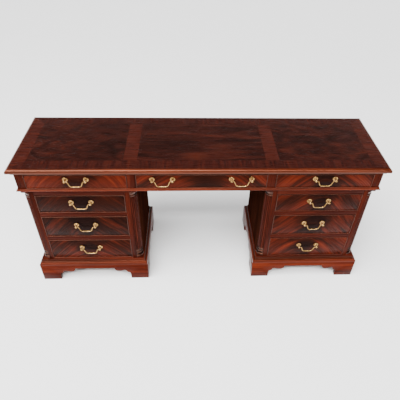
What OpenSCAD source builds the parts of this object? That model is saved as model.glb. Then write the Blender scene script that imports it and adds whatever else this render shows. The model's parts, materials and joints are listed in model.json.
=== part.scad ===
// Writing desk with two pedestals, nine drawers and swinging bail pulls.
// The desk stands on z = 0, faces -Y and is symmetrical about x = 0.

/* [Desk] */
// Width over the top
desk_w = 1780; // [1480:10:2140]
// Depth over the top
desk_d = 480; // [400:10:700]
// Height to the writing surface
desk_h = 780; // [650:5:940]

/* [Top] */
// Thickness of the top board
top_t = 22; // [18:1:26]
// Height of the moulding round the top
edge_h = 35; // [33:1:50]
// Width of that moulding, seen from above
edge_w = 40; // [30:1:60]
// Radius of its thumbnail nose
edge_nose = 12; // [8:1:12]
// Overhang of the top past the frieze at the front
overhang_front = 18; // [17:1:40]
// Overhang at each end
overhang_side = 28; // [18:1:60]
// Overhang at the back
overhang_back = 28; // [18:1:60]

/* [Frieze] */
// Height of the frieze from the waist moulding to the top's moulding
frieze_h = 85; // [70:1:120]
// Width of the stile at each end of the frieze
end_stile_w = 39; // [30:1:60]
// Width of the stile between two frieze drawers
divider_w = 40; // [30:1:60]
// Width of each side drawer's opening
side_open_w = 472; // [380:2:520]
// Thickness of the frieze's base board, which is the height of the waist moulding
waist_h = 14; // [12:1:20]
// How far the waist moulding stands out from the frieze
waist_proj = 8; // [6:1:12]

/* [Pedestals] */
// Width of one pedestal
ped_w = 544; // [460:2:580]
// Inset of a pedestal from the end of the frieze
ped_side_inset = 2; // [0:1:20]
// Inset of a pedestal from the front of the frieze
ped_front_inset = 10; // [4:1:30]
// Thickness of the sides
ped_side_t = 18; // [15:1:22]
// Side of the square that a quarter column takes out of the corner
column_w = 34; // [28:1:44]
// Reeds on each quarter column
reeds = 5; // [3:1:7]
// Width of the stile beside the drawers
stile_w = 23; // [16:1:40]
// Height of the rails between drawers
rail_h = 27; // [18:1:40]
// Height of the rail over the top drawer
top_rail_h = 37; // [24:1:50]
// Height of the rail that shows under the bottom drawer
bottom_rail_h = 9; // [6:1:20]
// Thickness of the dust boards that the drawers run on
dust_t = 12; // [9:1:16]

/* [Plinth] */
// Height of the plinth boards
plinth_h = 115; // [100:1:140]
// How far the plinth stands out from the pedestal
plinth_proj = 22; // [16:1:30]
// Height of the moulding on top of the plinth
base_mould_h = 33; // [26:1:45]
// Width of a bracket foot at the floor
foot_w = 98; // [70:1:110]
// Height of the straight part of the apron above the floor
apron_z = 88; // [80:1:95]

/* [Drawers] */
// Thickness of a drawer front
front_t = 20; // [16:1:26]
// Clearance round a drawer in its opening
drawer_gap = 1; // [0.5:0.5:2]
// Width of the cock bead round a drawer front
bead_w = 3; // [2:0.5:4]
// How far the cock bead stands proud
bead_proud = 2.5; // [1:0.5:4]
// Thickness of the drawer sides
drawer_side_t = 10; // [8:1:14]
// Thickness of the drawer back
drawer_back_t = 8; // [6:1:12]
// Thickness of the drawer bottom
drawer_bottom_t = 6; // [4:1:8]

/* [Pulls] */
// Distance between the two posts of a pull
pull_centres = 96; // [76:1:128]
// Diameter of a rosette
rosette_d = 25; // [20:1:32]
// Diameter of the round head that holds the bail
knob_d = 13; // [11:0.5:18]
// Distance from the drawer front to the pivot
pull_reach = 18; // [15:1:30]
// Thickness of the bail
bail_d = 5.2; // [4:0.2:6]
// Thickness of the bail's pins
pin_d = 4; // [3:0.2:4]
// Distance from the pivot down to the middle of the bail's bar
bail_drop = 30; // [24:1:40]
// Height of the pivots above the middle of the drawer front
pull_rise = 13; // [8:1:16]

/* [Hidden] */
$fn = 48;

// Finishes
mahogany = [0.45, 0.17, 0.10];
flame_veneer = [0.36, 0.13, 0.09];
dark_mahogany = [0.27, 0.10, 0.07];
drawer_wood = [0.66, 0.47, 0.30];
brass = [0.83, 0.70, 0.45];
steel = [0.55, 0.55, 0.56];

// Glue line left between pieces of one sub-part
glue = 0.1;
// Radial clearances
pin_play = 0.1;
bolt_play = 0.05;

// Outlines in plan
half_w = desk_w / 2;
half_d = desk_d / 2;
frieze_x = half_w - overhang_side;
frieze_front = overhang_front - half_d;
frieze_back = half_d - overhang_back;
ped_out = frieze_x - ped_side_inset;
ped_in = ped_out - ped_w;
ped_mid = (ped_in + ped_out) / 2;
ped_front = frieze_front + ped_front_inset;
ped_back = frieze_back;
plinth_t = plinth_proj;

// The pulls reach past the top at the front, so the desk is moved back to centre it on y = 0
front_reach = min(-half_d, frieze_front - pull_reach - knob_d / 2);
y_shift = -(front_reach + half_d) / 2;

// Levels
z_board = desk_h - top_t;
z_edge = desk_h - edge_h;
z_frieze = z_edge - frieze_h;
z_case = z_frieze - waist_h;
case_drop = 15;
case_bottom = plinth_h - case_drop;
z_base = plinth_h + base_mould_h;

// Frieze
frieze_t = 20;
frieze_rail_t = z_board - z_edge + 3;
frieze_open_top = z_board - frieze_rail_t;
rail_d = 34;
top_rail_d = 50;
back_t = 18;
back_in = frieze_back - back_t;
side_open_out = frieze_x - end_stile_w;
side_open_in = side_open_out - side_open_w;
centre_open = side_open_in - divider_w;
partition_t = 20;
guide_h = 20;
lip_w = min(overhang_front, overhang_side, overhang_back);
waist_w = waist_proj + 12;

// Pedestal
open_out = ped_out - column_w - stile_w;
open_in = ped_in + column_w + stile_w;
column_y = ped_front + column_w;
corner_post_d = 28;
open_bottom = z_base + bottom_rail_h;
open_top = z_case - top_rail_h;

// Heights of the three openings, top one first, share what the rails leave
row_shares = [4, 5, 5];
row_total = row_shares[0] + row_shares[1] + row_shares[2];
rows_h = open_top - open_bottom - 2 * rail_h;
row_h = [for (s = row_shares) rows_h * s / row_total];
row_z = [open_top - row_h[0], open_bottom + row_h[2] + rail_h, open_bottom];

// Drawer boxes
box_end_gap = 10;
box_back = back_in - box_end_gap;
box_gap = 2;
bottom_rise = 8;
box_top_gap = 12;
back_drop = 6;
stop_w = 30;
stop_d = 12;
stop_h = 5;

// Pulls
post_d = 8;
bolt_d = 5;
nut_d = 12;
nut_h = 4;
centre_pull_share = 0.6;
pin_start = pull_centres / 2 - knob_d / 2 - 0.5;
pin_len = knob_d - 1.5;
pin_root = 1;
elbow = 70;
elbow_r = 5;
bar_r = 8;
bail_sides = 12;
leg = (bail_drop - (elbow_r + bar_r) * (1 - cos(elbow))) / sin(elbow);
bar_x = pin_start - (elbow_r + bar_r) * sin(elbow) - leg * cos(elbow);

// Screws
screw_d = 5;
screw_head_d = 10;
screw_head_h = 3;
screw_bite = 12;
top_screw_x = [for (f = [0.18, 0.62, 0.92]) each [-f * frieze_x, f * frieze_x]];
front_screw_inset = 14;
case_screw_inset = 70;
top_screw_y = [frieze_front + top_rail_d - front_screw_inset, back_in - top_rail_d / 2];
case_screw_x = [ped_in + ped_w / 6, ped_out - ped_w / 6];
case_screw_y = [ped_front + case_screw_inset, ped_back - case_screw_inset];

// Each frieze drawer: name, opening's left edge, right edge and the centres of its pulls
frieze_drawers = [
  ["left", -side_open_out, -side_open_in, [-(side_open_out + side_open_in) / 2]],
  ["centre", -centre_open, centre_open, [-centre_pull_share * centre_open, centre_pull_share * centre_open]],
  ["right", side_open_in, side_open_out, [(side_open_out + side_open_in) / 2]]
];

sides = ["left", "right"];
function side_sign(s) = s == "left" ? -1 : 1;

// Every drawer: name, x0, x1, z0, z1, front plane, pull centres
drawers = concat(
  [for (d = frieze_drawers)
    [str("frieze_drawer_", d[0]), d[1], d[2], z_frieze, frieze_open_top, frieze_front, d[3]]],
  [for (s = sides) for (row = [0:2])
    let (a = side_sign(s) * open_in, b = side_sign(s) * open_out)
    [str(s, "_drawer_", row + 1), min(a, b), max(a, b), row_z[row], row_z[row] + row_h[row],
      ped_front, [(a + b) / 2]]]
);
function bail_name(d, i) = len(d[6]) == 1 ? str(d[0], "_bail") : str(d[0], "_bail_", sides[i]);

// ---- Shared shapes ----

// A rectangular board between two corners
module board(x, y, z) {
  translate([x[0], y[0], z[0]]) cube([x[1] - x[0], y[1] - y[0], z[1] - z[0]]);
}

// Points along an elliptical arc
function arc(cx, cy, rx, ry, a0, a1, n = 6) =
  [for (i = [0:n]) let (a = a0 + (a1 - a0) * i / n) [cx + rx * cos(a), cy + ry * sin(a)]];

// A length of moulding along X, outer edge on y = 0, mitred at both ends.
// Its profile is drawn with x going inwards from the outer edge and y going up.
module mitred_length(len, w, h) {
  e = len / 2 - glue;
  intersection() {
    translate([-e, 0, 0]) rotate([90, 0, 90]) linear_extrude(2 * e) children();
    linear_extrude(h) polygon([[-e, 0], [e, 0], [e - w, w], [w - e, w]]);
  }
}

// Four mitred lengths round a rectangle centred on the origin
module mitred_ring(lx, ly, w, h) {
  for (a = [0, 180]) rotate(a) translate([0, -ly / 2, 0]) mitred_length(lx, w, h) children();
  for (a = [90, 270]) rotate(a) translate([0, -lx / 2, 0]) mitred_length(ly, w, h) children();
}

// Mirrors the right-hand pedestal to the side s
module on_side(s) {
  mirror([side_sign(s) < 0 ? 1 : 0, 0, 0]) children();
}

// A countersunk hole up from z, and the screw that fills it
module screw_shape(z, len, play = 0) {
  translate([0, 0, z]) cylinder(d = screw_d + 2 * play, h = len + play);
  translate([0, 0, z - play])
    cylinder(d1 = screw_head_d + 2 * play, d2 = screw_d + 2 * play, h = screw_head_h + play);
}

module at_top_screws() {
  for (x = top_screw_x, y = top_screw_y) translate([x, y, 0]) children();
}

module at_case_screws() {
  for (s = sides, x = case_screw_x, y = case_screw_y) translate([side_sign(s) * x, y, 0]) children();
}

module top_screw(play = 0) {
  screw_shape(z_board - frieze_rail_t, frieze_rail_t + screw_bite, play);
}

module case_screw(play = 0) {
  screw_shape(z_case - dust_t, dust_t + waist_h - 3, play);
}

// Two blocks that a drawer front closes against, inside an opening from x0 to x1
module drawer_stops(x0, x1, front, z) {
  y = front + front_t + drawer_gap / 2;
  for (share = [0.25, 0.75]) let (x = x0 + share * (x1 - x0))
    board([x - stop_w / 2, x + stop_w / 2], [y, y + stop_d], [z, z + stop_h]);
}

// ---- Top ----

module top_board() {
  color(flame_veneer) difference() {
    board([edge_w - half_w, half_w - edge_w], [edge_w - half_d, half_d - edge_w], [z_board, desk_h]);
    at_top_screws() top_screw(bolt_play);
  }
}

// Thumbnail nose over a small round and a cove, with a lip that covers the joint
module edge_profile() {
  step = 1.5;
  round_r = 4;
  cove_r = 8;
  fillet = 2;
  nose_z = edge_h - step - edge_nose;
  polygon(concat(
    [[edge_w, edge_h], [edge_nose, edge_h]],
    arc(edge_nose, nose_z, edge_nose, edge_nose, 90, 180),
    arc(round_r, fillet * 2 + cove_r + round_r, round_r, round_r, 180, 270, 4),
    [[round_r + 3, fillet * 2 + cove_r]],
    arc(round_r + 3, fillet, cove_r, cove_r, 90, 0),
    [[round_r + 3 + cove_r, 0], [lip_w, 0], [lip_w, edge_h - top_t], [edge_w, edge_h - top_t]]
  ));
}

module top_edge_moulding() {
  color(mahogany) translate([0, 0, z_edge]) mitred_ring(desk_w, desk_d, edge_w, edge_h) edge_profile();
}

// ---- Frieze ----

module frieze_ends() {
  color(mahogany) for (s = sides) on_side(s) {
    board([frieze_x - frieze_t, frieze_x], [frieze_front, frieze_back], [z_frieze, z_board]);
    board([side_open_out, frieze_x - frieze_t - glue], [frieze_front, frieze_front + rail_d],
      [z_frieze, frieze_open_top]);
    board([side_open_out, frieze_x - frieze_t - glue], [frieze_front + rail_d + glue, back_in],
      [z_frieze, z_frieze + guide_h]);
  }
}

module frieze_back() {
  color(dark_mahogany)
    board([frieze_t - frieze_x, frieze_x - frieze_t], [back_in, frieze_back], [z_frieze, z_board]);
}

module frieze_dividers() {
  mid = centre_open + divider_w / 2;
  color(mahogany) for (s = sides) on_side(s) {
    board([centre_open, side_open_in], [frieze_front, frieze_front + rail_d], [z_frieze, frieze_open_top]);
    board([mid - partition_t / 2, mid + partition_t / 2], [frieze_front + rail_d + glue, back_in],
      [z_frieze, frieze_open_top]);
    board([centre_open, mid - partition_t / 2 - glue], [frieze_front + rail_d + glue, back_in],
      [z_frieze, z_frieze + guide_h]);
    board([mid + partition_t / 2 + glue, side_open_in], [frieze_front + rail_d + glue, back_in],
      [z_frieze, z_frieze + guide_h]);
  }
}

module frieze_top_rails() {
  rail_x = [frieze_t - frieze_x, frieze_x - frieze_t];
  rail_z = [frieze_open_top, z_board];
  color(mahogany) difference() {
    union() {
      board(rail_x, [frieze_front, frieze_front + top_rail_d], rail_z);
      board(rail_x, [back_in - top_rail_d, back_in], rail_z);
    }
    at_top_screws() top_screw(bolt_play);
  }
}

module frieze_base_board() {
  inset = waist_w - waist_proj;
  color(mahogany) difference() {
    board([inset - frieze_x, frieze_x - inset], [frieze_front + inset, frieze_back - inset],
      [z_case, z_frieze]);
    at_case_screws() case_screw(bolt_play);
  }
  color(drawer_wood) for (d = frieze_drawers) drawer_stops(d[1], d[2], frieze_front, z_frieze + glue);
}

// A fillet over a half-round bead
module waist_profile() {
  bead_r = waist_h / 3;
  polygon(concat(
    [[waist_w, waist_h], [waist_proj / 2, waist_h], [waist_proj / 2, 2 * bead_r]],
    arc(bead_r, bead_r, bead_r, bead_r, 100, 270, 10),
    [[waist_w, 0]]
  ));
}

module waist_moulding() {
  color(mahogany) translate([0, (frieze_front + frieze_back) / 2, z_case])
    mitred_ring(2 * (frieze_x + waist_proj), frieze_back - frieze_front + 2 * waist_proj, waist_w, waist_h)
      waist_profile();
}

module fixing_screws() {
  color(steel) {
    at_top_screws() top_screw();
    at_case_screws() case_screw();
  }
}

// ---- Pedestals, drawn for the right-hand side ----

module pedestal_sides() {
  color(mahogany) for (x = [ped_in, ped_out - ped_side_t])
    board([x, x + ped_side_t], [column_y, ped_back], [case_bottom, z_case]);
}

module pedestal_back() {
  color(dark_mahogany)
    board([ped_in + ped_side_t, ped_out - ped_side_t], [ped_back - back_t, ped_back], [case_bottom, z_case]);
}

// Stiles, the posts behind the columns, and the rails between the stiles
module pedestal_face_frame() {
  frame_y = [ped_front, column_y];
  color(mahogany) {
    for (x = [open_in - stile_w, open_out]) board([x, x + stile_w], frame_y, [case_bottom, z_case]);
    for (x = [[ped_in + ped_side_t, ped_in + column_w], [ped_out - column_w, ped_out - ped_side_t]])
      board(x, [column_y + glue, column_y + corner_post_d], [case_bottom, z_case]);
    for (z = [[case_bottom, open_bottom], [row_z[1] - rail_h, row_z[1]], [row_z[0] - rail_h, row_z[0]],
      [open_top, z_case]]) board([open_in + glue, open_out - glue], frame_y, z);
  }
}

// Boards that the drawers run on, the guides beside them, the stops and the pedestal's top
module pedestal_dust_boards() {
  board_x = [ped_in + ped_side_t, ped_out - ped_side_t];
  board_y = [column_y + corner_post_d, ped_back - back_t];
  color(drawer_wood) {
    for (z = row_z) {
      board([open_in, open_out], [column_y, board_y[0] - glue], [z - dust_t, z]);
      board(board_x, board_y, [z - dust_t, z]);
      for (x = [[board_x[0], open_in], [open_out, board_x[1]]]) board(x, board_y, [z + glue, z + guide_h]);
      drawer_stops(open_in, open_out, ped_front, z + glue);
    }
    difference() {
      board(board_x, board_y, [z_case - dust_t, z_case]);
      for (x = case_screw_x, y = case_screw_y) translate([x, y, 0]) case_screw(bolt_play);
    }
  }
}

// Rings of a turned quarter column: distance from its end, half height, and how far inside
// the corner's square the ring's edge lies
column_rings_bottom = [[8, 8, 0], [34, 5, 2], [52, 3, 3]];
column_rings_top = [[30, 4, 2], [8, 4, 1]];
column_block = 37;
column_cap = 20;
shaft_r = column_w - 7;
shaft_start = 60;
shaft_end = 38;
reed_lap = 3;

function ring(z, half_h, r) = arc(r - half_h, z, half_h, half_h, -90, 90, 6);

module column_profile(z0, z1) {
  outline = concat(
    [[0, z0]],
    [for (b = column_rings_bottom) each ring(z0 + b[0], b[1], column_w - b[2])],
    [[shaft_r, z0 + shaft_start], [shaft_r, z1 - shaft_end]],
    [for (b = column_rings_top) each ring(z1 - b[0], b[1], column_w - b[2])],
    [[0, z1]]
  );
  polygon(outline);
}

// Two reeded quarter columns, with a square block under each and a square cap over it
module pedestal_columns() {
  z0 = plinth_h + column_block;
  z1 = z_case - column_cap;
  reed_z = [z0 + shaft_start - reed_lap, z1 - shaft_end + reed_lap];
  reed_r = shaft_r * sin(45 / reeds);
  corners = [[ped_out - column_w, 0], [ped_in + column_w, 90]];
  color(mahogany) for (c = corners) translate([c[0], column_y, 0]) rotate(c[1] == 0 ? -90 : 180) {
    rotate_extrude(angle = 90) column_profile(z0, z1);
    intersection() {
      for (i = [0:reeds - 1]) rotate((i + 0.5) * 90 / reeds) translate([shaft_r, 0, reed_z[0]])
        cylinder(r = reed_r, h = reed_z[1] - reed_z[0], $fn = 24);
      translate([0, 0, z0]) cube([column_w, column_w, z1 - z0]);
    }
    translate([0, 0, case_bottom]) cube([column_w, column_w, z0 - case_bottom]);
    translate([0, 0, z1]) cube([column_w, column_w, column_cap]);
  }
}

// Half of the cut-out between two bracket feet, from the foot's inner edge to the middle
function bracket_curve() = concat(
  [[0, -1], [0, 0.36 * apron_z]],
  arc(9, 0.36 * apron_z, 9, 0.22 * apron_z, 180, 90, 4),
  arc(31, 0.60 * apron_z, 13, 0.20 * apron_z, 180, 90, 4),
  [[42, 0.77 * apron_z], [56, 0.72 * apron_z]],
  arc(66, apron_z, 22, 0.29 * apron_z, -90, 0, 6)
);

// One plinth board with bracket feet: a mitred length cut to the outline
module plinth_board(len) {
  right = [for (p = bracket_curve()) [p[0] + foot_w - len / 2, p[1]]];
  left = [for (i = [len(right) - 1:-1:0]) [-right[i][0], right[i][1]]];
  difference() {
    mitred_length(len, plinth_t, plinth_h) square([plinth_t, plinth_h]);
    translate([0, plinth_t + 1, 0]) rotate([90, 0, 0]) linear_extrude(plinth_t + 2)
      polygon(concat(right, left));
  }
}

plinth_lx = ped_w + 2 * plinth_proj;
plinth_ly = ped_back - ped_front + 2 * plinth_proj;

// Four mitred boards with bracket feet, and a glue block in each corner
module pedestal_plinth() {
  block = 30;
  color(mahogany) translate([ped_mid, (ped_front + ped_back) / 2, 0]) {
    for (a = [0, 180]) rotate(a) translate([0, -plinth_ly / 2, 0]) plinth_board(plinth_lx);
    for (a = [90, 270]) rotate(a) translate([0, -plinth_lx / 2, 0]) plinth_board(plinth_ly);
    for (x = [-1, 1], y = [-1, 1])
      translate([x * (ped_w / 2 - glue - block / 2), y * (plinth_ly / 2 - plinth_t - glue - block / 2), 0])
        translate([-block / 2, -block / 2, 0]) cube([block, block, case_bottom]);
  }
}

// A fillet over a cyma that flows out to the plinth's face
module base_profile() {
  fillet = 3;
  half_run = (plinth_proj - 4) / 2;
  half_rise = (base_mould_h - 3 * fillet) / 2;
  top = base_mould_h - fillet;
  polygon(concat(
    [[plinth_proj, base_mould_h], [2 * half_run, base_mould_h]],
    arc(half_run, top, half_run, half_rise, 0, -90),
    arc(half_run, 2 * fillet, half_run, half_rise, 90, 180),
    [[0, 0], [plinth_proj, 0]]
  ));
}

module pedestal_base_moulding() {
  color(mahogany) translate([ped_mid, (ped_front + ped_back) / 2, plinth_h])
    mitred_ring(plinth_lx, plinth_ly, plinth_proj, base_mould_h) base_profile();
}

// ---- Drawers ----

// Centres of the holes for a drawer's pulls
function pull_z(d) = (d[3] + d[4]) / 2 + pull_rise;
function post_x(d) = [for (c = d[6]) each [c - pull_centres / 2, c + pull_centres / 2]];

module at_posts(d) {
  for (x = post_x(d)) translate([x, d[5], pull_z(d)]) rotate([90, 0, 0]) children();
}

module bead_profile() {
  depth = front_t + bead_proud;
  translate([0, -front_t]) square([bead_w, depth - bead_w / 2]);
  translate([bead_w / 2, bead_proud - bead_w / 2]) circle(d = bead_w, $fn = 24);
}

// A veneered front inside a mitred cock bead
module drawer_front(d) {
  x = [d[1] + drawer_gap, d[2] - drawer_gap];
  z = [d[3] + drawer_gap, d[4] - drawer_gap];
  inset = bead_w + glue;
  color(flame_veneer) difference() {
    board([x[0] + inset, x[1] - inset], [d[5], d[5] + front_t], [z[0] + inset, z[1] - inset]);
    at_posts(d) translate([0, 0, -front_t - 1]) cylinder(d = bolt_d + 2 * bolt_play, h = front_t + 2);
  }
  color(mahogany) translate([(x[0] + x[1]) / 2, d[5], (z[0] + z[1]) / 2]) rotate([90, 0, 0])
    translate([0, 0, -front_t]) mitred_ring(x[1] - x[0], z[1] - z[0], bead_w, front_t + bead_proud)
      translate([0, front_t]) bead_profile();
}

// Sides, back and bottom
module drawer_box(d) {
  x = [d[1] + drawer_gap + box_gap, d[2] - drawer_gap - box_gap];
  inner = [x[0] + drawer_side_t + glue, x[1] - drawer_side_t - glue];
  y = [d[5] + front_t, box_back];
  z0 = d[3] + drawer_gap;
  z1 = d[4] - box_top_gap;
  floor_z = z0 + bottom_rise;
  color(drawer_wood) {
    board([x[0], x[0] + drawer_side_t], y, [z0, z1]);
    board([x[1] - drawer_side_t, x[1]], y, [z0, z1]);
    board(inner, [box_back - drawer_back_t, box_back], [floor_z + drawer_bottom_t + glue, z1 - back_drop]);
    board(inner, y, [floor_z, floor_z + drawer_bottom_t]);
  }
}

// ---- Pulls ----

// Rosette, post and head in one turning, height measured out from the drawer front
module post_profile() {
  r = rosette_d / 2;
  bolt_end = -front_t - nut_h - 4;
  neck_top = pull_reach - knob_d / 2 + 1.5;
  polygon(concat(
    [[0, bolt_end], [bolt_d / 2, bolt_end], [bolt_d / 2, 0], [r - 1, 0], [r, 1], [r - 1, 2]],
    arc(r * 0.55, 2, r * 0.3, 2, 0, 90, 4),
    [[post_d / 2 + 0.5, 4.5], [post_d / 2, 6], [post_d / 2 - 0.5, neck_top], [0, pull_reach - 2]]
  ));
}

module pull_posts(d) {
  color(brass) at_posts(d) {
    difference() {
      union() {
        rotate_extrude() post_profile();
        translate([0, 0, pull_reach]) sphere(d = knob_d);
      }
      translate([0, 0, pull_reach]) rotate([0, 90, 0])
        cylinder(d = pin_d + 2 * pin_play, h = knob_d + 2, center = true);
    }
    translate([0, 0, -front_t - nut_h]) difference() {
      cylinder(d = nut_d, h = nut_h);
      translate([0, 0, -1]) cylinder(d = bolt_d + 2 * bolt_play, h = nut_h + 2);
    }
  }
}

// Middle line of the bail from post to post, as x, z and the direction it runs in
function bail_path() =
  let (
    neck = [for (a = [0:elbow / 5:elbow])
      [pin_start - elbow_r * sin(a), elbow_r * (cos(a) - 1), 180 + a]],
    foot = [for (a = [elbow:-elbow / 5:0])
      [bar_x + bar_r * sin(a), bar_r * (1 - cos(a)) - bail_drop, 180 + a]],
    half = concat(neck, foot)
  )
  concat(half, [for (i = [len(half) - 1:-1:0]) [-half[i][0], half[i][1], -half[i][2]]]);

// A round bar swept along the path
module bail_bar(path) {
  n = len(path);
  points = [for (p = path) for (k = [0:bail_sides - 1])
    let (a = 360 * k / bail_sides, in_plane = bail_d / 2 * cos(a))
      [p[0] - in_plane * sin(p[2]), bail_d / 2 * sin(a), p[1] + in_plane * cos(p[2])]];
  skin = [for (i = [0:n - 2]) for (k = [0:bail_sides - 1])
    let (m = (k + 1) % bail_sides, a = i * bail_sides, b = a + bail_sides) [a + k, a + m, b + m, b + k]];
  first_end = [for (k = [bail_sides - 1:-1:0]) k];
  last_end = [for (k = [0:bail_sides - 1]) (n - 1) * bail_sides + k];
  polyhedron(points, concat(skin, [first_end, last_end]));
}

// Swan-necked bail hanging from y = 0, z = 0, with a pin at each end
module bail_shape() {
  bail_bar(bail_path());
  for (s = [0, 1]) mirror([s, 0, 0]) translate([pin_start - pin_root, 0, 0]) rotate([0, 90, 0])
    cylinder(d = pin_d, h = pin_root + pin_len);
}

module bail(d, i) {
  color(brass) translate([d[6][i], d[5] - pull_reach, pull_z(d)]) bail_shape();
}

// ---- Drawing ----

translate([0, y_shift, 0]) {
  top_board();
  top_edge_moulding();
  frieze_ends();
  frieze_back();
  frieze_dividers();
  frieze_top_rails();
  frieze_base_board();
  waist_moulding();
  fixing_screws();
  for (s = sides) {
    on_side(s) pedestal_sides();
    on_side(s) pedestal_back();
    on_side(s) pedestal_face_frame();
    on_side(s) pedestal_dust_boards();
    on_side(s) pedestal_columns();
    on_side(s) pedestal_plinth();
    on_side(s) pedestal_base_moulding();
  }
  for (d = drawers) {
    drawer_front(d);
    drawer_box(d);
    pull_posts(d);
    for (i = [0:len(d[6]) - 1]) bail(d, i);
  }
}
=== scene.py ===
import json
import math
import random

import bmesh
import bpy
from mathutils import Euler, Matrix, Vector

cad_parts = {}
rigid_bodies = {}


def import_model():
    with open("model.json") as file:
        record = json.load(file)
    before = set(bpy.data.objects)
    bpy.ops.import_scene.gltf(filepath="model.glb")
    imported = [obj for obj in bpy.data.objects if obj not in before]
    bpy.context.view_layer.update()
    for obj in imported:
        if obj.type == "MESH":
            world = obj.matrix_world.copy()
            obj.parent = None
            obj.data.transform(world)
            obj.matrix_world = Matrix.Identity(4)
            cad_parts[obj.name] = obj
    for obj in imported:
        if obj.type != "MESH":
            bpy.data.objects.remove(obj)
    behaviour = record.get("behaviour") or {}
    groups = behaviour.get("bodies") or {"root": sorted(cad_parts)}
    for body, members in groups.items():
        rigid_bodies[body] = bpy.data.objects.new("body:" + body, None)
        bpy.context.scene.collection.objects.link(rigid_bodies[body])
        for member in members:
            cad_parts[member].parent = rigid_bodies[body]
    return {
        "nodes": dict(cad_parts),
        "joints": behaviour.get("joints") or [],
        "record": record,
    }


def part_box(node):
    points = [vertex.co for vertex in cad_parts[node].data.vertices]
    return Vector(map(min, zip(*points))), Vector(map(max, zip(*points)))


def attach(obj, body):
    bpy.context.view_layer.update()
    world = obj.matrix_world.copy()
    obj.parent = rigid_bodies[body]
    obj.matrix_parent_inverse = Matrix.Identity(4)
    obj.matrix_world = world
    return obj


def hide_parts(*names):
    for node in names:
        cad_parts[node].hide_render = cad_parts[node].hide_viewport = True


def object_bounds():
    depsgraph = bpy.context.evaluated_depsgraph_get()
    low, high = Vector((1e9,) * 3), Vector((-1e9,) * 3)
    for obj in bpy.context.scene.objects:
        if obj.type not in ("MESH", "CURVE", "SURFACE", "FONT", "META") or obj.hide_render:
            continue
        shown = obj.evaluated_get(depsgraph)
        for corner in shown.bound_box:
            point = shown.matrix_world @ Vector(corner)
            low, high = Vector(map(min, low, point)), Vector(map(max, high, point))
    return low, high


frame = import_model()
cadLow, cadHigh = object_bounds()
mm = 0.001
scene = bpy.context.scene
hand = random.Random(7)

cameraSettings = {
    "place": (-62.6 * mm, -1726.6 * mm, 1924.1 * mm),
    "pitch": 39.70,  # below the horizon
    "yaw": 3.44,
    "roll": 1.95,
    "lens": 37.08,
    "sensor": 36.0,
    "shift": (-0.0196, -0.0342),
}


def makeCamera():
    data = bpy.data.cameras.new("studioCamera")
    data.lens = cameraSettings["lens"]
    data.sensor_width = cameraSettings["sensor"]
    data.shift_x, data.shift_y = cameraSettings["shift"]
    camera = bpy.data.objects.new("studioCamera", data)
    scene.collection.objects.link(camera)
    pitch = math.radians(cameraSettings["pitch"])
    yaw = math.radians(cameraSettings["yaw"])
    forward = Vector((math.sin(yaw) * math.cos(pitch), math.cos(yaw) * math.cos(pitch), -math.sin(pitch)))
    turn = forward.to_track_quat("-Z", "Y").to_matrix()
    roll = Euler((0, 0, math.radians(cameraSettings["roll"]))).to_matrix()
    camera.matrix_world = (turn @ roll).to_4x4()
    camera.location = cameraSettings["place"]
    scene.camera = camera


makeCamera()


def addNode(tree, kind, inputs=None, **settings):
    node = tree.nodes.new(kind)
    for key, value in settings.items():
        setattr(node, key, value)
    for key, value in (inputs or {}).items():
        if isinstance(value, bpy.types.NodeSocket):
            tree.links.new(value, node.inputs[key])
        else:
            node.inputs[key].default_value = value
    return node


def calc(tree, operation, a, b=0.0, c=0.0):
    return addNode(tree, "ShaderNodeMath", {0: a, 1: b, 2: c}, operation=operation).outputs[0]


def weigh(tree, base, *parts):
    # adds each value times its weight to the base
    for value, weight in parts:
        base = calc(tree, "MULTIPLY_ADD", value, weight, base)
    return base


def fade(tree, value, low, high):  # 0 below low, 1 above high
    inputs = {"Value": value, "From Min": low, "From Max": high}
    return addNode(tree, "ShaderNodeMapRange", inputs, interpolation_type="SMOOTHSTEP").outputs[0]


def join(tree, x, y, z=0.0):
    return addNode(tree, "ShaderNodeCombineXYZ", {0: x, 1: y, 2: z}).outputs[0]


def flatPlace(tree, x, y, scale, layer):
    # where a flat pattern is read, on its own layer of the noise
    return join(tree, calc(tree, "MULTIPLY", x, scale[0]), calc(tree, "MULTIPLY", y, scale[1]), layer)


def split(tree, vector):
    return addNode(tree, "ShaderNodeSeparateXYZ", {0: vector}).outputs


def stretch(tree, vector, scale):
    inputs = {0: vector, 1: scale}
    return addNode(tree, "ShaderNodeVectorMath", inputs, operation="MULTIPLY").outputs[0]


def noise(tree, vector, detail=2.0, distortion=0.0, roughness=0.5):
    inputs = {"Vector": vector, "Scale": 1.0, "Detail": detail, "Distortion": distortion, "Roughness": roughness}
    return addNode(tree, "ShaderNodeTexNoise", inputs).outputs["Fac"]


def ramp(tree, factor, stops):
    node = addNode(tree, "ShaderNodeValToRGB", {"Fac": factor})
    while len(node.color_ramp.elements) < len(stops):
        node.color_ramp.elements.new(0.5)
    for element, (place, colour) in zip(node.color_ramp.elements, stops):
        element.position = place
        element.color = (*colour, 1)
    return node.outputs["Color"]


def blend(tree, factor, a, b):
    node = addNode(tree, "ShaderNodeMix", data_type="RGBA")
    for index, value in ((0, factor), (6, a), (7, b)):
        if isinstance(value, bpy.types.NodeSocket):
            tree.links.new(value, node.inputs[index])
        else:
            node.inputs[index].default_value = value if index == 0 else (*value, 1)
    return node.outputs[2]


def newMaterial(name, preview):
    material = bpy.data.materials.new(name)
    material.use_nodes = True
    material.diffuse_color = (*preview, 1)
    return material, material.node_tree, material.node_tree.nodes["Principled BSDF"]


def joinShader(tree, shader, colour, roughness, height, look):
    tree.links.new(colour, shader.inputs["Base Color"])
    tree.links.new(roughness, shader.inputs["Roughness"])
    bump = addNode(tree, "ShaderNodeBump", {"Height": height, "Strength": look["bump"], "Distance": look["depth"]})
    tree.links.new(bump.outputs["Normal"], shader.inputs["Normal"])


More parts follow.
